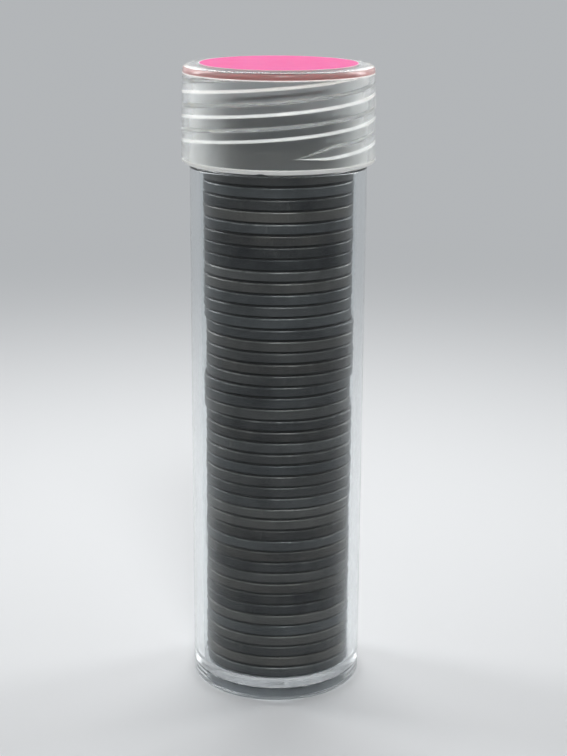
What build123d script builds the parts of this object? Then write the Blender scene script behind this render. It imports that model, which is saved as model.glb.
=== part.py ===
from build123d import *
import os

# Coin tube: a clear moulded tube full of coins, closed by a screw cap with a round label on top.
# Millimetres, +Z up. The origin is on the tube's axis, in the plane that the tube stands on.

# Coins, which set the size of the tube
coin_diameter = 19.05
coin_thickness = 1.475
coin_count = 50
coin_play = 0.75  # room across the bore, beyond the coin's diameter
coin_sides = 28  # flats round a coin's edge, each about 0.06 deep, which keep the full stack light

# The stack leans in runs of coins. Each run has its first coin, counted from the floor, and its
# lean to the right and to the back, as shares of the room on one side of a centred coin.
coin_runs = [
    (1, 0.40, 0.10),
    (17, 0.55, -0.20),
    (22, 0.65, 0.00),
    (25, 0.00, 0.20),
    (28, 0.80, -0.10),
    (33, 0.05, 0.15),
]

# Tube
tube_wall = 1.3
floor_thickness = 1.5
recess_depth = 1.3  # hollow under the floor, inside the ring that the tube stands on
standing_ring_width = 1.9
headroom = 4.1  # from the top coin to the mouth
base_edge_radius = 0.6
neck_height = 11.5
neck_step = 0.6  # how far the neck stands in from the tube's outside
mouth_edge_chamfer = 0.25

# Screw cap
thread_room = 0.6  # between the neck and the cap's bore, where the two threads run
rim_clearance = 0.4  # from the shoulder up to the cap's rim
cap_plate = 0.95
cap_wall_at_top = 0.8
cap_wall_at_rim = 1.05
cap_top_edge_radius = 0.75
cap_rim_edge_chamfer = 0.3

# Label
label_diameter = 20.0
label_thickness = 0.12

# Sizes that follow
bore_radius = (coin_diameter + coin_play) / 2
tube_radius = bore_radius + tube_wall
recess_radius = tube_radius - standing_ring_width
neck_radius = tube_radius - neck_step
floor_height = recess_depth + floor_thickness
mouth_height = floor_height + coin_count * coin_thickness + headroom
shoulder_height = mouth_height - neck_height
cap_bore_radius = neck_radius + thread_room
cap_top_radius = cap_bore_radius + cap_wall_at_top
cap_rim_radius = cap_bore_radius + cap_wall_at_rim
cap_rim_height = shoulder_height + rim_clearance
cap_top_height = mouth_height + cap_plate

os.makedirs("parts", exist_ok=True)


# Tube body: one clear moulding, with its floor raised over a hollow base and its neck stepped in
with BuildPart() as tube_body:
    with BuildSketch(Plane.XZ):
        with BuildLine():
            Polyline(
                (0, recess_depth),
                (recess_radius, recess_depth),
                (recess_radius, 0),
                (tube_radius, 0),
                (tube_radius, shoulder_height),
                (neck_radius, shoulder_height),
                (neck_radius, mouth_height),
                (bore_radius, mouth_height),
                (bore_radius, floor_height),
                (0, floor_height),
                close=True,
            )
        make_face()
    revolve(axis=Axis.Z)
    tube_rings = tube_body.edges().filter_by(GeomType.CIRCLE)
    base_edge = tube_rings.group_by(Axis.Z)[0].sort_by(SortBy.RADIUS)[-1]
    mouth_edge = tube_rings.group_by(Axis.Z)[-1].sort_by(SortBy.RADIUS)[-1]
    fillet(base_edge, base_edge_radius)
    chamfer(mouth_edge, mouth_edge_chamfer)
tube_body.part.label = "tube_body"
export_step(tube_body.part, "parts/tube_body.step")


# Screw cap: a thin shell that tapers towards its top, seated with its ceiling on the tube's mouth
with BuildPart() as screw_cap:
    with BuildSketch(Plane.XZ):
        with BuildLine():
            Polyline(
                (0, mouth_height),
                (cap_bore_radius, mouth_height),
                (cap_bore_radius, cap_rim_height),
                (cap_rim_radius, cap_rim_height),
                (cap_top_radius, cap_top_height),
                (0, cap_top_height),
                close=True,
            )
        make_face()
    revolve(axis=Axis.Z)
    cap_rings = screw_cap.edges().filter_by(GeomType.CIRCLE)
    top_edge = cap_rings.group_by(Axis.Z)[-1].sort_by(SortBy.RADIUS)[-1]
    rim_edges = cap_rings.group_by(Axis.Z)[0]
    fillet(top_edge, cap_top_edge_radius)
    chamfer(rim_edges, cap_rim_edge_chamfer)
screw_cap.part.label = "screw_cap"
export_step(screw_cap.part, "parts/screw_cap.step")


# Round label: a paper dot stuck on the middle of the cap
with BuildPart() as round_label:
    with BuildSketch(Plane.XY.offset(cap_top_height)):
        Circle(label_diameter / 2)
    extrude(amount=label_thickness)
round_label.part.label = "round_label"
export_step(round_label.part, "parts/round_label.step")


def coin_middle(number):
    """The middle of a coin's lower face, with the lean of the run that the coin belongs to."""
    side_room = coin_play / 2
    right, back = 0.0, 0.0
    for first, share_right, share_back in coin_runs:
        if number >= first:
            right = share_right * side_room
            back = share_back * side_room
    return (right, back, floor_height + (number - 1) * coin_thickness)


# Coins: plain-edged discs, stacked flat from the tube's floor up
for number in range(1, coin_count + 1):
    with BuildPart() as coin:
        with BuildSketch(Plane(coin_middle(number))):
            RegularPolygon(coin_diameter / 2, coin_sides)
        extrude(amount=coin_thickness)
    coin.part.label = f"coin_{number:02d}"
    export_step(coin.part, f"parts/{coin.part.label}.step")
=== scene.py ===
import math

import bpy
import numpy as np
from mathutils import Matrix, Vector


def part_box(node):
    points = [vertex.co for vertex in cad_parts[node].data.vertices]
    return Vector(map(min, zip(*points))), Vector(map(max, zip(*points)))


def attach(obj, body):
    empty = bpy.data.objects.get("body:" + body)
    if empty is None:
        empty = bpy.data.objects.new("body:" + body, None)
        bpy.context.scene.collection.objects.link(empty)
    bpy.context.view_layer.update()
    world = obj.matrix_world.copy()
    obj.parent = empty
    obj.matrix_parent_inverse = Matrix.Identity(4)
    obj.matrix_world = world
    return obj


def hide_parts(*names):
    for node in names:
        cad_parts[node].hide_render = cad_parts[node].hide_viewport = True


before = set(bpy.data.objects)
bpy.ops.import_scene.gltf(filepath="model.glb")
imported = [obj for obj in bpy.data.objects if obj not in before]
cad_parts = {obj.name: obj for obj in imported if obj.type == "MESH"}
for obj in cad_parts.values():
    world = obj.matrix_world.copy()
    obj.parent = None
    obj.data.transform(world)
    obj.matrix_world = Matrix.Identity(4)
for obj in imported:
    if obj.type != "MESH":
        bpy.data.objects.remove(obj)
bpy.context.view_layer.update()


# Tube body
# The clear tube is one injection moulding in crystal polystyrene: a straight barrel with its floor
# raised over a hollow base, and a stepped neck that carries a coarse two-start thread outside.
tube_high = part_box("tube_body")[1]
tube_radius = tube_high.x
mouth_height = tube_high.z
floor_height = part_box("coin_01")[0].z
tube_wall = 0.0013
bore_radius = tube_radius - tube_wall
neck_step = 0.0006
neck_radius = tube_radius - neck_step
neck_height = 0.0115
shoulder_height = mouth_height - neck_height
neck_foot = shoulder_height + 0.0003
bore_foot = floor_height + 0.0004
standing_ring_width = 0.0019
recess_radius = tube_radius - standing_ring_width
recess_depth = 0.0013
base_edge_radius = 0.0006
gate_radius = 0.0011
gate_height = 0.0002
thread_lead = 0.006
thread_starts = 2
turn_segments = 200
thread_row_step = thread_lead / turn_segments
sharp_turn = math.radians(60)
touch = 0.00001
clear_tint = (0.875, 0.905, 0.915, 1)
clear_lamp_tint = (0.93, 0.95, 0.96, 1)
base_shade_tint = (0.60, 0.625, 0.64, 1)
base_lamp_tint = (0.10, 0.11, 0.12, 1)


def rounded_outline(corners, arc_steps=6):
    """Points (radius, height, wear) through corners of (radius, height, rounding); round corners get wear
    and a painted highlight.
    """
    points = []
    for i, (radius, height, rounding) in enumerate(corners):
        if rounding == 0:
            points.append((radius, height, 0.0))
            continue
        here = Vector((radius, height))
        back = (Vector(corners[i - 1][:2]) - here).normalized()
        ahead = (Vector(corners[i + 1][:2]) - here).normalized()
        half = back.angle(ahead) / 2
        centre = here + (back + ahead).normalized() * (rounding / math.sin(half))
        start = here + back * (rounding / math.tan(half)) - centre
        end = here + ahead * (rounding / math.tan(half)) - centre
        for step in range(arc_steps + 1):
            share = step / arc_steps
            spoke = start.lerp(end, share).normalized() * rounding
            points.append((centre.x + spoke.x, centre.y + spoke.y, math.sin(math.pi * share)))
    return points


def vertex_places(piece):
    places = np.zeros(len(piece.data.vertices) * 3)
    piece.data.vertices.foreach_get("co", places)
    return places.reshape(-1, 3)


def mark(piece, name, values):
    """A value from 0 to 1 at each vertex, for the materials to read."""
    layer = piece.data.attributes.get(name) or piece.data.attributes.new(name, "FLOAT", "POINT")
    layer.data.foreach_set("value", np.asarray(values, np.float32))


def turned_piece(name, outline, segments, relief=None, lift=None):
    """A closed piece turned about the tube's axis from an outline that starts and ends on the axis.
    relief(angle, radius, height) is added to the radius, and lift, of the same kind, to the height."""
    rings = np.array(outline[1:-1])
    angles = np.arange(segments) * (2 * np.pi / segments)
    radii = np.repeat(rings[:, :1], segments, axis=1)
    heights = np.repeat(rings[:, 1:2], segments, axis=1)
    spread = np.broadcast_to(angles, radii.shape)
    out = radii + (relief(spread, radii, heights) if relief else 0)
    up = heights + (lift(spread, radii, heights) if lift else 0)
    around = np.stack([out * np.cos(spread), out * np.sin(spread), up], axis=2).reshape(-1, 3)
    first = np.array([[0, 0, outline[0][1]]])
    last = np.array([[0, 0, outline[-1][1]]])
    points = np.concatenate([first, around, last])
    here = np.arange(segments)
    after = (here + 1) % segments
    faces = [(0, 1 + int(after[j]), 1 + j) for j in range(segments)]
    for ring in range(len(rings) - 1):
        low = 1 + ring * segments
        high = low + segments
        faces += [(low + j, low + int(after[j]), high + int(after[j]), high + j) for j in range(segments)]
    end = 1 + (len(rings) - 1) * segments
    faces += [(end + j, end + int(after[j]), len(points) - 1) for j in range(segments)]
    mesh = bpy.data.meshes.new(name)
    mesh.from_pydata(points.tolist(), [], faces)
    mesh.shade_smooth()
    mesh.set_sharp_from_angle(angle=sharp_turn)
    piece = bpy.data.objects.new(name, mesh)
    bpy.context.scene.collection.objects.link(piece)
    mark(piece, "edge_wear_and_highlight", np.concatenate([[0.0], np.repeat(rings[:, 2], segments), [0.0]]))
    return piece


def smooth_step(x):
    x = np.clip(x, 0, 1)
    return x * x * (3 - 2 * x)


def soft_ramp(x):
    """A straight ramp from 0 to 1 with its two ends eased, as a cutter's corners are."""
    x = np.clip(x, 0, 1)
    return x - 0.1 * np.sin(2 * np.pi * x)


def helical_ridge(angle, height, first_angle, first_height, last_height,
                  depth, width, crest, taper, lean=1.0):
    """Depth of a two-start right-hand ridge at each point, from its tapered start to its end.
    A lean under 1 draws out the ridge's upper side."""
    ridge = np.zeros_like(height)
    length = (last_height - first_height) / thread_lead * 2 * np.pi
    for start in range(thread_starts):
        turned = (angle - first_angle - start * 2 * np.pi / thread_starts) % (2 * np.pi)
        for lap in range(int(length / (2 * np.pi)) + 1):
            along = turned + lap * 2 * np.pi
            middle = first_height + thread_lead * along / (2 * np.pi)
            grown = smooth_step(along / taper) * smooth_step((length - along) / taper)
            above = height - middle
            away = np.where(above > 0, above * lean, -above) / np.maximum(grown, 0.05)
            flank = (width / 2 - away) / (width / 2 - crest / 2)
            ridge = np.maximum(ridge, depth * grown * soft_ramp(flank))
    return ridge


# The cap's broad ridge starts near the front, and the neck's narrow ridge runs just above it.
thread_front = math.radians(-83)
cap_ridge_width = 0.00140
cap_ridge_start = 0.0713
neck_ridge_width = 0.0010
neck_ridge_crest = 0.0003
neck_ridge_depth = 0.00045
ridge_clearance = 0.00006
neck_ridge_start = cap_ridge_start + (cap_ridge_width + neck_ridge_width) / 2 + ridge_clearance
neck_ridge_end = mouth_height - 0.0008
ridge_taper = math.radians(30)


def neck_thread(angle, radius, height):
    on_neck = np.isclose(radius, neck_radius) & (height > neck_foot)
    ridge = helical_ridge(angle, height, thread_front, neck_ridge_start, neck_ridge_end,
                          neck_ridge_depth, neck_ridge_width, neck_ridge_crest, ridge_taper)
    return np.where(on_neck, ridge, 0)


# Beside each rounded corner a further ring keeps the long straight walls flat in their shading.
neck_rows = np.arange(shoulder_height + 0.0004, mouth_height - 0.0004, thread_row_step)
tube_outline = rounded_outline(
    [
        (0, recess_depth - gate_height, 0),
        (gate_radius, recess_depth - gate_height, 0.00008),
        (gate_radius + 0.0001, recess_depth, 0.00008),
        (recess_radius, recess_depth, 0.0002),
        (recess_radius, 0, 0.00015),
        (tube_radius, 0, base_edge_radius),
        (tube_radius, base_edge_radius + 0.0001, 0),
        (tube_radius, floor_height, 0),
        (tube_radius, shoulder_height - 0.0004, 0),
        (tube_radius, shoulder_height, 0.00025),
        (neck_radius, shoulder_height, 0.0002),
    ]
    + [(neck_radius, height, 0) for height in neck_rows]
    + [
        (neck_radius, mouth_height, 0.0003),
        (bore_radius, mouth_height, 0.00015),
        (bore_radius, mouth_height - 0.0003, 0),
        (bore_radius, floor_height + 0.0008, 0),
        (bore_radius, bore_foot, 0),
        (bore_radius, floor_height, 0.0003),
        (0, floor_height, 0),
    ]
)
tube = turned_piece("clear_tube", tube_outline, turn_segments, relief=neck_thread)

tube_places = vertex_places(tube)
tube_reach = np.hypot(tube_places[:, 0], tube_places[:, 1])
in_bore = (tube_reach < bore_radius + touch) & (tube_places[:, 2] > floor_height - touch)
by_floor = tube_places[:, 2] < bore_foot
mark(tube, "coin_rub", np.where(in_bore, np.where(by_floor, 1.0, 0.12), 0.0))
on_foot = (tube_reach < tube_radius - 0.0005) & (tube_places[:, 2] < 0.0001)
on_thread = (tube_reach > neck_radius - touch) & (tube_places[:, 2] > neck_foot)
mark(tube, "rubbed_matt", np.where(on_thread, 0.7, on_foot))


def new_group(name, inputs, outputs):
    """A shader node group with these named sockets: (name, kind, default) in, (name, kind) out."""
    group = bpy.data.node_groups.new(name, "ShaderNodeTree")
    for label, kind, value in inputs:
        socket = group.interface.new_socket(label, in_out="INPUT", socket_type=kind)
        socket.default_value = value
    for label, kind in outputs:
        group.interface.new_socket(label, in_out="OUTPUT", socket_type=kind)
    return group, group.nodes.new("NodeGroupInput"), group.nodes.new("NodeGroupOutput")


def put(tree, kind, links=None, **settings):
    """A node in the tree, with its settings and its inputs: a socket is linked, a value is set."""
    node = tree.nodes.new(kind)
    for key, value in settings.items():
        setattr(node, key, value)
    for key, value in (links or {}).items():
        if isinstance(value, bpy.types.NodeSocket):
            tree.links.new(value, node.inputs[key])
        else:
            node.inputs[key].default_value = value
    return node


def hairline_group():
    """Hairline scratches: thin bands of a noise that is drawn out along two slanted directions."""
    group, given, result = new_group(
        "hairlines",
        [("Density", "NodeSocketFloat", 900.0), ("Width", "NodeSocketFloat", 0.012)],
        [("Mask", "NodeSocketFloat")],
    )
    place = put(group, "ShaderNodeTexCoord").outputs["Object"]
    masks = []
    for turn, stretch in ((0.35, 0.035), (-0.9, 0.05)):
        laid = put(group, "ShaderNodeMapping",
                   {"Vector": place, "Rotation": (turn, turn * 0.6, 0.0), "Scale": (1.0, 1.0, stretch)})
        noise = put(group, "ShaderNodeTexNoise",
                    {"Vector": laid.outputs[0], "Scale": given.outputs["Density"], "Detail": 1.0})
        off = put(group, "ShaderNodeMath", {0: noise.outputs["Fac"], 1: 0.36}, operation="SUBTRACT")
        away = put(group, "ShaderNodeMath", {0: off.outputs[0]}, operation="ABSOLUTE")
        line = put(group, "ShaderNodeMapRange",
                   {"Value": away.outputs[0], "From Min": 0.0, "From Max": given.outputs["Width"],
                    "To Min": 1.0, "To Max": 0.0})
        masks.append(line.outputs[0])
    both = put(group, "ShaderNodeMath", {0: masks[0], 1: masks[1]}, operation="MAXIMUM")
    patches = put(group, "ShaderNodeTexNoise", {"Vector": place, "Scale": 160.0, "Detail": 2.0})
    patchy = put(group, "ShaderNodeMapRange",
                 {"Value": patches.outputs["Fac"], "From Min": 0.45, "From Max": 0.65})
    shown = put(group, "ShaderNodeMath", {0: both.outputs[0], 1: patchy.outputs[0]}, operation="MULTIPLY")
    group.links.new(shown.outputs[0], result.inputs["Mask"])
    return group


hairlines = hairline_group()


def mottle_group():
    """Soft uneven patches at one scale, for tone and gloss that wander over a surface."""
    group, given, result = new_group(
        "mottle",
        [("Scale", "NodeSocketFloat", 300.0), ("Low", "NodeSocketFloat", 0.35),
         ("High", "NodeSocketFloat", 0.65)],
        [("Mask", "NodeSocketFloat")],
    )
    place = put(group, "ShaderNodeTexCoord").outputs["Object"]
    noise = put(group, "ShaderNodeTexNoise",
                {"Vector": place, "Scale": given.outputs["Scale"], "Detail": 4.0, "Roughness": 0.6})
    span = put(group, "ShaderNodeMapRange",
               {"Value": noise.outputs["Fac"], "From Min": given.outputs["Low"],
                "From Max": given.outputs["High"]})
    group.links.new(span.outputs[0], result.inputs["Mask"])
    return group


mottle = mottle_group()


def new_material(name):
    material = bpy.data.materials.new(name)
    material.use_nodes = True
    tree = material.node_tree
    return material, tree, tree.nodes["Principled BSDF"], tree.nodes["Material Output"]


def lets_lamps_through(tree, shader, output, tint):
    """The lamps shine through the plastic: shadow rays meet a tinted transparent surface instead."""
    path = put(tree, "ShaderNodeLightPath")
    clear = put(tree, "ShaderNodeBsdfTransparent", {"Color": tint})
    mixed = put(tree, "ShaderNodeMixShader",
                {0: path.outputs["Is Shadow Ray"], 1: shader.outputs[0], 2: clear.outputs[0]})
    tree.links.new(mixed.outputs[0], output.inputs["Surface"])


def clear_polystyrene(name, tint, lamp_tint):
    """Crystal polystyrene, glossy and clear, rubbed by handling and scratched by the coins inside."""
    material, tree, shader, output = new_material(name)
    shader.inputs["Transmission Weight"].default_value = 1.0
    shader.inputs["IOR"].default_value = 1.46
    shader.inputs["Specular Tint"].default_value = (0.45, 0.45, 0.45, 1)
    rubbed = put(tree, "ShaderNodeGroup", node_tree=mottle)
    rubbed.inputs["Scale"].default_value = 220.0
    scratched = put(tree, "ShaderNodeGroup", node_tree=hairlines)
    chafed = put(tree, "ShaderNodeGroup", node_tree=mottle)
    chafed.inputs["Scale"].default_value = 900.0
    coin_rub = put(tree, "ShaderNodeAttribute", attribute_name="coin_rub")
    scuff = put(tree, "ShaderNodeMath", {0: chafed.outputs["Mask"], 1: coin_rub.outputs["Fac"]},
                operation="MULTIPLY")
    hazed = put(tree, "ShaderNodeMix",
                {"Factor": rubbed.outputs["Mask"], "A": tint, "B": [0.98 * part for part in tint]},
                data_type="RGBA")
    tree.links.new(hazed.outputs["Result"], shader.inputs["Base Color"])
    gloss = put(tree, "ShaderNodeMapRange",
                {"Value": scratched.outputs["Mask"], "To Min": 0.012, "To Max": 0.12})
    dulled = put(tree, "ShaderNodeMath", {0: scuff.outputs[0], 1: 0.03, 2: gloss.outputs[0]},
                 operation="MULTIPLY_ADD")
    rubbed_matt = put(tree, "ShaderNodeAttribute", attribute_name="rubbed_matt")
    frosted = put(tree, "ShaderNodeMath", {0: rubbed_matt.outputs["Fac"], 1: 0.4, 2: dulled.outputs[0]},
                  operation="MULTIPLY_ADD")
    tree.links.new(frosted.outputs[0], shader.inputs["Roughness"])
    ripple = put(tree, "ShaderNodeMath",
                 {0: scratched.outputs["Mask"], 1: 0.25, 2: rubbed.outputs["Mask"]},
                 operation="MULTIPLY_ADD")
    floor_marks = put(tree, "ShaderNodeMath", {0: coin_rub.outputs["Fac"], 1: 2.0}, operation="POWER")
    facets = put(tree, "ShaderNodeMath", {0: floor_marks.outputs[0], 1: chafed.outputs["Mask"]},
                 operation="MULTIPLY")
    marks = put(tree, "ShaderNodeMath", {0: facets.outputs[0], 1: 30.0, 2: ripple.outputs[0]},
                operation="MULTIPLY_ADD")
    bump = put(tree, "ShaderNodeBump", {"Height": marks.outputs[0], "Strength": 0.05, "Distance": 0.0001})
    tree.links.new(bump.outputs[0], shader.inputs["Normal"])
    lets_lamps_through(tree, shader, output, lamp_tint)
    return material


def face_centres(mesh):
    centres = np.zeros(len(mesh.polygons) * 3)
    mesh.polygons.foreach_get("center", centres)
    return centres.reshape(-1, 3).T


# The slab under the coins is tinted darker, a painted shade for the coins' dark undersides that it mirrors,
# and it bends the lamps' light away from what it stands on. The rounded foot stays clear.
tube.data.materials.append(clear_polystyrene("clear_polystyrene", clear_tint, clear_lamp_tint))
tube.data.materials.append(clear_polystyrene("shaded_base_polystyrene", base_shade_tint, base_lamp_tint))
face_x, face_y, face_z = face_centres(tube.data)
foot_edge = (np.hypot(face_x, face_y) > tube_radius - base_edge_radius) & (face_z < base_edge_radius)
in_base = (face_z < floor_height - touch) & ~foot_edge
tube.data.polygons.foreach_set("material_index", in_base.astype(np.int32))
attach(tube, "tube")
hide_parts("tube_body")


# Coins
# Fifty plain-edged coins blanked from zinc-coated steel strip, with an upset rim and a struck face,
# stacked flat and loose in the bore. Their coating has dulled to a dark grey; each upper bevel carries a
# painted highlight, partly real edge wear, and the bevels where the coins meet carry painted shade.
coin_segments = 96
coin_field_depth = 0.00012
coin_rim_width = 0.00095
coin_rim_slope = 0.00015
coin_seat_gap = 0.000006
coin_bevel_range = (0.00022, 0.00032)
coin_wear_and_highlight_range = (0.1, 1.0)
rosette_petals = 8
rosette_radius = 0.0042
ring_radius = 0.0053
ring_width = 0.0004
ray_count = 24
ray_span = (0.0060, 0.0077)
relief_height = 0.00008
coin_dark = (0.022, 0.024, 0.026, 1)
coin_grey = (0.125, 0.133, 0.138, 1)
coin_brown = (0.130, 0.118, 0.104, 1)
bright_wear_and_highlight = (0.42, 0.41, 0.39, 1)
coin_painted_shade = (0.001, 0.001, 0.001, 1)


def struck_relief(angle, radius):
    """Height of the struck rosette, ring and rays over the coin's field."""
    petal = rosette_radius * (0.45 + 0.55 * np.abs(np.cos(angle * rosette_petals / 2)))
    rosette = smooth_step((petal - radius) / 0.0008)
    ring = smooth_step(1 - np.abs(radius - ring_radius) / ring_width)
    in_rays = smooth_step((radius - ray_span[0]) / 0.0004) * smooth_step((ray_span[1] - radius) / 0.0004)
    rays = in_rays * smooth_step(0.5 + np.cos(angle * ray_count))
    return relief_height * np.maximum(np.maximum(rosette, ring), rays)


def make_coin(node, dice):
    """One coin in its place in the stack, with its own edge, wear, tone and turn, painted shade in its
    bevel seams and a painted highlight on its upper bevel.
    """
    low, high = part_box(node)
    middle = (low + high) / 2
    edge = high.x - middle.x
    thick = high.z - low.z - coin_seat_gap
    bevel = dice.uniform(*coin_bevel_range)
    rim = edge - coin_rim_width
    field = rim - coin_rim_slope
    face_rings = np.linspace(0.0005, field, 20)[:-1]
    outline = rounded_outline(
        [(0, coin_field_depth, 0)]
        + [(r, coin_field_depth, 0) for r in face_rings]
        + [
            (field, coin_field_depth, 0),
            (rim, 0, 0),
            (edge, 0, bevel),
            (edge, bevel * 1.2, 0),
            (edge, thick - bevel * 1.2, 0),
            (edge, thick, bevel),
            (rim, thick, 0),
            (field, thick - coin_field_depth, 0),
        ]
        + [(r, thick - coin_field_depth, 0) for r in face_rings[::-1]]
        + [(0, thick - coin_field_depth, 0)],
        arc_steps=6,
    )

    def struck(angle, radius, height):
        outward = np.where(height > thick / 2, 1.0, -1.0)
        return np.where(radius < field, outward * struck_relief(angle, radius), 0)

    coin = turned_piece(f"{node}_struck", outline, coin_segments, lift=struck)
    places = vertex_places(coin)
    on_bevel = np.hypot(places[:, 0], places[:, 1]) > edge - bevel * 1.01
    from_top = (thick - places[:, 2]) / bevel
    from_foot = places[:, 2] / bevel
    # Painted shade: the bevels darken next to the faces where the coins meet, and over most of each lower
    # bevel.
    top_painted_shade = smooth_step((0.36 - from_top) / 0.2)
    foot_painted_shade = smooth_step((0.98 - from_foot) / 0.25)
    seam = np.maximum(top_painted_shade, foot_painted_shade) * on_bevel
    # Painted highlight, partly real edge wear: the middle of each upper bevel is lightened, more on some
    # coins than others.
    rubbed = smooth_step(1 - np.abs(from_top - 0.65) / 0.34) * on_bevel * dice.uniform(*coin_wear_and_highlight_range)
    mark(coin, "painted_seam_shade", seam)
    mark(coin, "edge_wear_and_highlight", rubbed)
    mark(coin, "tone", np.full(len(places), dice.uniform(0, 1)))
    mark(coin, "warmth", np.full(len(places), dice.uniform(0, 1)))
    turned = Matrix.Rotation(dice.uniform(0, 2 * math.pi), 4, "Z")
    coin.data.transform(Matrix.Translation((middle.x, middle.y, low.z)) @ turned)
    return coin


def dulled_coin_metal():
    """Dull zinc-coated steel: patchy dark grey, a tone of its own on each coin, bright edge wear with a
    painted highlight on the upper bevels, and painted shade in the seams.
    """
    material, tree, shader, _ = new_material("dulled_coin_metal")
    tone = put(tree, "ShaderNodeAttribute", attribute_name="tone")
    wear = put(tree, "ShaderNodeAttribute", attribute_name="edge_wear_and_highlight")
    patches = put(tree, "ShaderNodeGroup", node_tree=mottle)
    patches.inputs["Scale"].default_value = 240.0
    specks = put(tree, "ShaderNodeGroup", node_tree=mottle)
    specks.inputs["Scale"].default_value = 1500.0
    scratched = put(tree, "ShaderNodeGroup", node_tree=hairlines)
    scratched.inputs["Density"].default_value = 1600.0
    blend = put(tree, "ShaderNodeMath", {0: tone.outputs["Fac"], 1: 0.7, 2: -0.05},
                operation="MULTIPLY_ADD")
    patchy = put(tree, "ShaderNodeMath", {0: patches.outputs["Mask"], 1: 0.35, 2: blend.outputs[0]},
                 operation="MULTIPLY_ADD", use_clamp=True)
    warmth = put(tree, "ShaderNodeAttribute", attribute_name="warmth")
    grey = put(tree, "ShaderNodeMix", {"Factor": warmth.outputs["Fac"], "A": coin_grey, "B": coin_brown},
               data_type="RGBA")
    metal = put(tree, "ShaderNodeMix",
                {"Factor": patchy.outputs[0], "A": coin_dark, "B": grey.outputs["Result"]},
                data_type="RGBA")
    # The painted highlight, partly edge wear, broken up by patches, and the scratches lighten the metal.
    broken = put(tree, "ShaderNodeMath", {0: specks.outputs["Mask"], 1: patches.outputs["Mask"]},
                 operation="MULTIPLY")
    rubbed = put(tree, "ShaderNodeMath", {0: wear.outputs["Fac"], 1: broken.outputs[0]},
                 operation="MULTIPLY")
    shine = put(tree, "ShaderNodeMath", {0: scratched.outputs["Mask"], 1: 0.12, 2: rubbed.outputs[0]},
                operation="MULTIPLY_ADD", use_clamp=True)
    worn_and_highlit = put(tree, "ShaderNodeMix",
               {"Factor": shine.outputs[0], "A": metal.outputs["Result"], "B": bright_wear_and_highlight},
               data_type="RGBA")
    # Painted shade in the bevel seams between the coins.
    seam = put(tree, "ShaderNodeAttribute", attribute_name="painted_seam_shade")
    shaded_seams = put(tree, "ShaderNodeMix",
                {"Factor": seam.outputs["Fac"], "A": worn_and_highlit.outputs["Result"], "B": coin_painted_shade},
                data_type="RGBA")
    tree.links.new(shaded_seams.outputs["Result"], shader.inputs["Base Color"])
    shader.inputs["Metallic"].default_value = 0.8
    gloss = put(tree, "ShaderNodeMapRange",
                {"Value": patches.outputs["Mask"], "To Min": 0.34, "To Max": 0.52})
    tree.links.new(gloss.outputs[0], shader.inputs["Roughness"])
    grain = put(tree, "ShaderNodeBump",
                {"Height": specks.outputs["Mask"], "Strength": 0.04, "Distance": 0.00003})
    tree.links.new(grain.outputs[0], shader.inputs["Normal"])
    return material


coin_metal = dulled_coin_metal()
coin_dice = np.random.default_rng(7)
for coin_node in sorted(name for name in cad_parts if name.startswith("coin_")):
    coin = make_coin(coin_node, coin_dice)
    coin.data.materials.append(coin_metal)
    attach(coin, "coin_stack")
    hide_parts(coin_node)


# Screw cap
# The cap is one moulding in natural polyethylene, milky and flexible, drafted towards its flat top.
# Its inside thread shows through the wall as pale rising lines and its rounded rim is bright: these thick
# parts are painted whiter, partly their real whiteness and partly a painted highlight.
cap_low, cap_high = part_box("screw_cap")
cap_top = cap_high.z
cap_rim = cap_low.z
cap_rim_radius = cap_high.x
thread_room = 0.0006
cap_bore_radius = neck_radius + thread_room
cap_wall_at_top = 0.0008
cap_top_radius = cap_bore_radius + cap_wall_at_top
cap_bore_top = mouth_height - 0.0003
rim_highlight_height = 0.0005
cap_ridge_depth = 0.00054
cap_ridge_crest = 0.00064
cap_ridge_lean = 0.6
cap_ridge_end = mouth_height + 0.0012
milk = (0.80, 0.82, 0.82, 1)
milk_thick_highlight = (0.93, 0.93, 0.90, 1)
milk_white_highlight = (0.97, 0.96, 0.93, 1)
milk_lamp_tint = (0.93, 0.94, 0.94, 1)
thick_lamp_tint = (0.7, 0.7, 0.69, 1)
# Painted glow: the label's pink, painted into the plate's edge.
pink_glow = (0.66, 0.33, 0.31, 1)
pink_glow_pale = (0.76, 0.46, 0.44, 1)


def cap_ridge(angle, height):
    return helical_ridge(angle, height, thread_front, cap_ridge_start, cap_ridge_end,
                         cap_ridge_depth, cap_ridge_width, cap_ridge_crest, ridge_taper, cap_ridge_lean)


def cap_thread(angle, radius, height):
    on_bore = np.isclose(radius, cap_bore_radius) & (height < mouth_height)
    return np.where(on_bore, -cap_ridge(angle, height), 0)


cap_draft = (cap_rim_radius - cap_top_radius) / (cap_top - cap_rim)
cap_pink_glow_height = mouth_height + 0.00005
cap_pink_glow_radius = cap_top_radius + cap_draft * (cap_top - cap_pink_glow_height)
cap_rows = np.arange(cap_bore_top, cap_rim + 0.0005, -thread_row_step)
cap_outline = rounded_outline(
    [(0, mouth_height, 0), (cap_bore_radius, mouth_height, 0.0002)]
    + [(cap_bore_radius, height, 0) for height in cap_rows]
    + [
        (cap_bore_radius, cap_rim, 0.00035),
        (cap_rim_radius, cap_rim, 0.00035),
        (cap_rim_radius - cap_draft * rim_highlight_height, cap_rim + rim_highlight_height, 0),
        (cap_pink_glow_radius, cap_pink_glow_height, 0),
        (cap_top_radius, cap_top, 0.00075),
        (0, cap_top, 0),
    ],
    arc_steps=8,
)
rim_nick_angle = math.radians(-100)
rim_nick_spread = math.radians(2.2)
rim_nick_height = 0.00012


def rim_nick(angle, radius, height):
    """A small nick in the rim, left by the mould."""
    turned = (angle - rim_nick_angle + np.pi) % (2 * np.pi) - np.pi
    return rim_nick_height * np.exp(-((turned / rim_nick_spread) ** 2)) * (height < cap_rim + 0.0003)


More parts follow.
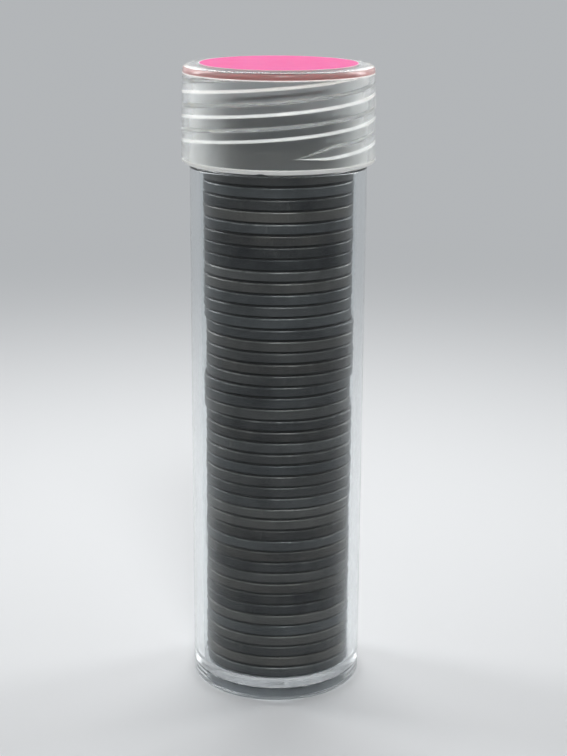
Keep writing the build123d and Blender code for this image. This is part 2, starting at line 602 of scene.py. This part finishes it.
cap = turned_piece("milky_cap", cap_outline, turn_segments, relief=cap_thread, lift=rim_nick)
cap_places = vertex_places(cap)
cap_reach = np.hypot(cap_places[:, 0], cap_places[:, 1])
core_side = (cap_reach < cap_bore_radius + touch) & (cap_places[:, 2] < mouth_height + touch)
mark(cap, "core_side", core_side)


def milky_polyethylene(name, colour_thin, colour_thick, clearness):
    """Natural polyethylene: milky, see-through when close, with a satin skin and rub marks; its rounded
    edges are paler, partly wear and partly a painted highlight.
    """
    material, tree, shader, output = new_material(name)
    shader.inputs["Transmission Weight"].default_value = clearness
    shader.inputs["IOR"].default_value = 1.51
    shader.inputs["Subsurface Weight"].default_value = 1.0
    shader.inputs["Subsurface Radius"].default_value = (1.0, 0.95, 0.9)
    shader.inputs["Subsurface Scale"].default_value = 0.0012
    shader.inputs["Specular Tint"].default_value = (0.5, 0.5, 0.5, 1)
    shader.inputs["Coat Weight"].default_value = 0.4
    shader.inputs["Coat Roughness"].default_value = 0.06
    wear = put(tree, "ShaderNodeAttribute", attribute_name="edge_wear_and_highlight")
    patches = put(tree, "ShaderNodeGroup", node_tree=mottle)
    patches.inputs["Scale"].default_value = 180.0
    scratched = put(tree, "ShaderNodeGroup", node_tree=hairlines)
    scratched.inputs["Width"].default_value = 0.004
    # Rounded edges turn to the thick colour: partly wear, partly a painted highlight.
    pale = put(tree, "ShaderNodeMath", {0: patches.outputs["Mask"], 1: 0.25, 2: wear.outputs["Fac"]},
               operation="MULTIPLY_ADD", use_clamp=True)
    colour = put(tree, "ShaderNodeMix", {"Factor": pale.outputs[0], "A": colour_thin, "B": colour_thick},
                 data_type="RGBA")
    tree.links.new(colour.outputs["Result"], shader.inputs["Base Color"])
    gloss = put(tree, "ShaderNodeMapRange",
                {"Value": scratched.outputs["Mask"], "To Min": 0.07, "To Max": 0.2})
    core_side = put(tree, "ShaderNodeAttribute", attribute_name="core_side")
    matt = put(tree, "ShaderNodeMath", {0: core_side.outputs["Fac"], 1: 0.48, 2: gloss.outputs[0]},
               operation="MULTIPLY_ADD")
    tree.links.new(matt.outputs[0], shader.inputs["Roughness"])
    bump = put(tree, "ShaderNodeBump",
               {"Height": patches.outputs["Mask"], "Strength": 0.04, "Distance": 0.0001})
    tree.links.new(bump.outputs[0], shader.inputs["Normal"])
    lets_lamps_through(tree, shader, output, milk_lamp_tint)
    return material


def thick_highlit_polyethylene():
    """The same plastic where it is thick and whiter, painted brighter still as a painted highlight: at the
    rim, the thread's lower sides and the ceiling's corner.
    """
    material, tree, shader, output = new_material("thick_highlit_polyethylene")
    shader.inputs["Transmission Weight"].default_value = 0.05
    shader.inputs["Subsurface Weight"].default_value = 0.3
    shader.inputs["Subsurface Radius"].default_value = (1.0, 0.98, 0.9)
    shader.inputs["Subsurface Scale"].default_value = 0.0004
    shader.inputs["IOR"].default_value = 1.51
    patches = put(tree, "ShaderNodeGroup", node_tree=mottle)
    patches.inputs["Scale"].default_value = 260.0
    colour = put(tree, "ShaderNodeMix",
                 {"Factor": patches.outputs["Mask"], "A": milk_thick_highlight, "B": milk_white_highlight},
                 data_type="RGBA")
    tree.links.new(colour.outputs["Result"], shader.inputs["Base Color"])
    gloss = put(tree, "ShaderNodeMapRange",
                {"Value": patches.outputs["Mask"], "To Min": 0.14, "To Max": 0.24})
    tree.links.new(gloss.outputs[0], shader.inputs["Roughness"])
    lets_lamps_through(tree, shader, output, thick_lamp_tint)
    return material


def cap_finish(mesh):
    """Each face's material: 1, the painted highlight, on the rim, the ridges' lower sides and the ceiling's
    corner,
    2, the painted pink glow, on the top's edge, 3, the painted sheen, on the ridges' upper sides."""
    x, y, height = face_centres(mesh)
    reach = np.hypot(x, y)
    angle = np.arctan2(y, x)
    half_row = thread_row_step / 2
    climb = (cap_ridge(angle, height + half_row) - cap_ridge(angle, height - half_row)) / thread_row_step
    inside = (reach < cap_bore_radius + touch) & (height < cap_bore_top)
    rim = height < cap_rim + rim_highlight_height
    by_ceiling = (height < mouth_height - touch) & (height > mouth_height - 0.00021)
    corner = by_ceiling & (reach < cap_bore_radius)
    top_edge = (height > cap_pink_glow_height) & (height < cap_top - 0.0002)
    # Painted highlight: the rim, the ridges' lower sides and the ceiling's corner take the whiter thick
    # plastic.
    thick = (inside & (climb > 0.5)) | rim | corner
    return np.select([top_edge, thick, inside & (climb < -0.05)], [2, 1, 3], 0).astype(np.int32)


# The plate's edge is painted pink, a painted glow of the label's pink that the milky plastic scatters
# there, and the ridges' upper sides are milkier than the thin wall, a painted soft sheen above each pale
# line.
cap.data.materials.append(milky_polyethylene("milky_polyethylene", milk, milk_thick_highlight, 0.98))
cap.data.materials.append(thick_highlit_polyethylene())
cap.data.materials.append(milky_polyethylene("pink_glow_polyethylene", pink_glow, pink_glow_pale, 0.4))
cap.data.materials.append(milky_polyethylene("ridge_sheen_polyethylene", milk, milk_thick_highlight, 0.7))
cap.data.polygons.foreach_set("material_index", cap_finish(cap.data))
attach(cap, "cap")
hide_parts("screw_cap")


# Round label
# A die-cut dot of bright pink paper with an adhesive back, pressed on the middle of the cap.
# The paper is uncoated, and its cut edge shows the pale core.
label_low, label_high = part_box("round_label")
label_radius = label_high.x
label_bed = label_low.z - touch
label_cockle = 0.00002
label_segments = 160
label_pink = (0.92, 0.105, 0.31, 1)
label_light_pink = (0.95, 0.145, 0.365, 1)
label_core = (0.93, 0.74, 0.78, 1)
label_back = (0.93, 0.50, 0.55, 1)
label_rings = np.linspace(0.0006, label_radius - 0.0002, 34)


def cockled(angle, radius, height):
    """The paper's slight waves, which settle towards its edge."""
    wave = np.sin(3 * angle + radius * 900) * np.sin(5 * angle - radius * 1400)
    settle = smooth_step((label_radius - radius) / 0.002)
    return np.where(height > label_low.z + 0.00005, label_cockle * settle * (wave - 1) / 2, 0)


label_outline = rounded_outline(
    [(0, label_bed, 0), (label_radius, label_bed, 0), (label_radius, label_high.z, 0.00004)]
    + [(radius, label_high.z, 0) for radius in label_rings[::-1]]
    + [(0, label_high.z, 0)]
)
label = turned_piece("pink_label", label_outline, label_segments, lift=cockled)
label_places = vertex_places(label)
mark(label, "edge_wear_and_highlight", np.hypot(label_places[:, 0], label_places[:, 1]) > label_radius - 0.00005)


def pink_paper():
    """Dyed uncoated paper: fine fibres, slightly uneven dye, and a paler cut edge."""
    material, tree, shader, _ = new_material("pink_paper")
    shader.inputs["Subsurface Weight"].default_value = 1.0
    shader.inputs["Subsurface Radius"].default_value = (1.0, 0.5, 0.6)
    shader.inputs["Subsurface Scale"].default_value = 0.00008
    shader.inputs["Specular IOR Level"].default_value = 0.12
    edge = put(tree, "ShaderNodeAttribute", attribute_name="edge_wear_and_highlight")
    dye = put(tree, "ShaderNodeGroup", node_tree=mottle)
    dye.inputs["Scale"].default_value = 350.0
    dye.inputs["Low"].default_value = 0.2
    dye.inputs["High"].default_value = 0.9
    fibre = put(tree, "ShaderNodeGroup", node_tree=mottle)
    fibre.inputs["Scale"].default_value = 4000.0
    uneven = put(tree, "ShaderNodeMath", {0: fibre.outputs["Mask"], 1: 0.35, 2: dye.outputs["Mask"]},
                 operation="MULTIPLY_ADD", use_clamp=True)
    dyed = put(tree, "ShaderNodeMix",
               {"Factor": uneven.outputs[0], "A": label_pink, "B": label_light_pink},
               data_type="RGBA")
    cut = put(tree, "ShaderNodeMix",
              {"Factor": edge.outputs["Fac"], "A": dyed.outputs["Result"], "B": label_core},
              data_type="RGBA")
    facing = put(tree, "ShaderNodeSeparateXYZ", {0: put(tree, "ShaderNodeNewGeometry").outputs["Normal"]})
    under = put(tree, "ShaderNodeMath", {0: facing.outputs["Z"], 1: -0.5}, operation="LESS_THAN")
    paper = put(tree, "ShaderNodeMix",
                {"Factor": under.outputs[0], "A": cut.outputs["Result"], "B": label_back},
                data_type="RGBA")
    tree.links.new(paper.outputs["Result"], shader.inputs["Base Color"])
    dry = put(tree, "ShaderNodeMapRange", {"Value": fibre.outputs["Mask"], "To Min": 0.62, "To Max": 0.8})
    tree.links.new(dry.outputs[0], shader.inputs["Roughness"])
    nap = put(tree, "ShaderNodeBump",
              {"Height": fibre.outputs["Mask"], "Strength": 0.2, "Distance": 0.00004})
    tree.links.new(nap.outputs[0], shader.inputs["Normal"])
    return material


label.data.materials.append(pink_paper())
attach(label, "cap")
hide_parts("round_label")


# Studio
# A plain pale floor under soft lamps, and the camera at the photograph's place. Far from the object
# the floor fades into the pale backdrop.
floor_size = 8.0
floor_pale = (0.84, 0.85, 0.86, 1)
backdrop_pale = (0.45, 0.465, 0.48, 1)
backdrop_near_edge = 0.05
backdrop_far_edge = 0.30
world_light = 0.37
camera_height = 0.1005
camera_distance = 0.2053
camera_right = 0.0008
camera_down = math.radians(16.16)
camera_roll = math.radians(0.33)
focal_pixels = 1632.6
frame_pixels_high = 756


def seen_directly(tree):
    """1 for rays from the camera, and for those that come by way of gloss or glass."""
    path = put(tree, "ShaderNodeLightPath")
    camera_or_gloss = put(tree, "ShaderNodeMath",
                          {0: path.outputs["Is Camera Ray"], 1: path.outputs["Is Glossy Ray"]},
                          operation="MAXIMUM")
    seen = put(tree, "ShaderNodeMath",
               {0: camera_or_gloss.outputs[0], 1: path.outputs["Is Transmission Ray"]},
               operation="MAXIMUM")
    return seen.outputs[0]


floor_mesh = bpy.data.meshes.new("pale_floor")
half = floor_size / 2
floor_corners = [(-half, -half, 0), (half, -half, 0), (half, half, 0), (-half, half, 0)]
floor_mesh.from_pydata(floor_corners, [], [(0, 1, 2, 3)])
floor = bpy.data.objects.new("pale_floor", floor_mesh)
bpy.context.scene.collection.objects.link(floor)
floor_material, floor_tree, floor_shader, floor_output = new_material("pale_floor")
floor_shader.inputs["Base Color"].default_value = floor_pale
floor_shader.inputs["Roughness"].default_value = 0.6
floor_side = put(floor_tree, "ShaderNodeNewGeometry")
floor_reach = put(floor_tree, "ShaderNodeVectorMath", {0: floor_side.outputs["Position"]},
                  operation="LENGTH")
floor_fade = put(floor_tree, "ShaderNodeMapRange",
                 {"Value": floor_reach.outputs["Value"], "From Min": backdrop_near_edge,
                  "From Max": backdrop_far_edge},
                 interpolation_type="SMOOTHSTEP")
floor_share = put(floor_tree, "ShaderNodeMath", {0: floor_fade.outputs[0], 1: seen_directly(floor_tree)},
                  operation="MULTIPLY")
floor_glow = put(floor_tree, "ShaderNodeEmission", {"Color": backdrop_pale})
floor_mixed = put(floor_tree, "ShaderNodeMixShader",
                  {0: floor_share.outputs[0], 1: floor_shader.outputs[0], 2: floor_glow.outputs[0]})
# From below the floor is clear, so that the tube's base can be looked at.
floor_open = put(floor_tree, "ShaderNodeBsdfTransparent")
floor_surface = put(floor_tree, "ShaderNodeMixShader",
                    {0: floor_side.outputs["Backfacing"], 1: floor_mixed.outputs[0],
                     2: floor_open.outputs[0]})
floor_tree.links.new(floor_surface.outputs[0], floor_output.inputs["Surface"])
floor_mesh.materials.append(floor_material)

world = bpy.data.worlds.new("soft_surround")
world.use_nodes = True
surround = world.node_tree.nodes["Background"]
surround.inputs["Color"].default_value = backdrop_pale
surround_strength = put(world.node_tree, "ShaderNodeMapRange",
                        {"Value": seen_directly(world.node_tree), "To Min": world_light, "To Max": 1.0})
world.node_tree.links.new(surround_strength.outputs[0], surround.inputs["Strength"])
bpy.context.scene.world = world


def soft_lamp(name, place, aim_height, width, length, spread, watts):
    """A softbox that faces the tube's axis at one height; a small spread is a grid in front of it."""
    light = bpy.data.lights.new(name, "AREA")
    light.shape = "RECTANGLE"
    light.size = width
    light.size_y = length
    light.spread = math.radians(spread)
    light.energy = watts
    lamp = bpy.data.objects.new(name, light)
    lamp.location = place
    aim = Vector((0, 0, aim_height)) - lamp.location
    lamp.rotation_euler = aim.to_track_quat("-Z", "Y").to_euler()
    lamp.visible_camera = False
    bpy.context.scene.collection.objects.link(lamp)


soft_lamp("left_lamp", (-0.28, 0.12, 0.20), aim_height=0.04, width=0.08, length=0.24, spread=180,
          watts=0.33)
soft_lamp("right_lamp", (0.28, 0.14, 0.20), aim_height=0.04, width=0.08, length=0.24, spread=180,
          watts=0.28)
soft_lamp("top_lamp", (0.0, 0.16, 0.28), aim_height=0.04, width=0.22, length=0.12, spread=180, watts=0.42)
soft_lamp("front_lamp", (0.06, -0.42, 0.52), aim_height=0.075, width=0.20, length=0.20, spread=24,
          watts=0.040)

camera_data = bpy.data.cameras.new("photo_camera")
camera_data.sensor_width = 36
camera_data.lens = focal_pixels * camera_data.sensor_width / frame_pixels_high
camera_data.clip_start = 0.01
camera = bpy.data.objects.new("photo_camera", camera_data)
camera.matrix_world = (
    Matrix.Translation((camera_right, -camera_distance, camera_height))
    @ Matrix.Rotation(math.pi / 2 - camera_down, 4, "X")
    @ Matrix.Rotation(camera_roll, 4, "Z")
)
bpy.context.scene.collection.objects.link(camera)
bpy.context.scene.camera = camera
bpy.context.scene.view_settings.view_transform = "Standard"
bpy.context.scene.cycles.max_bounces = 24
bpy.context.scene.cycles.glossy_bounces = 16
bpy.context.scene.cycles.transmission_bounces = 24
bpy.context.scene.cycles.transparent_max_bounces = 24
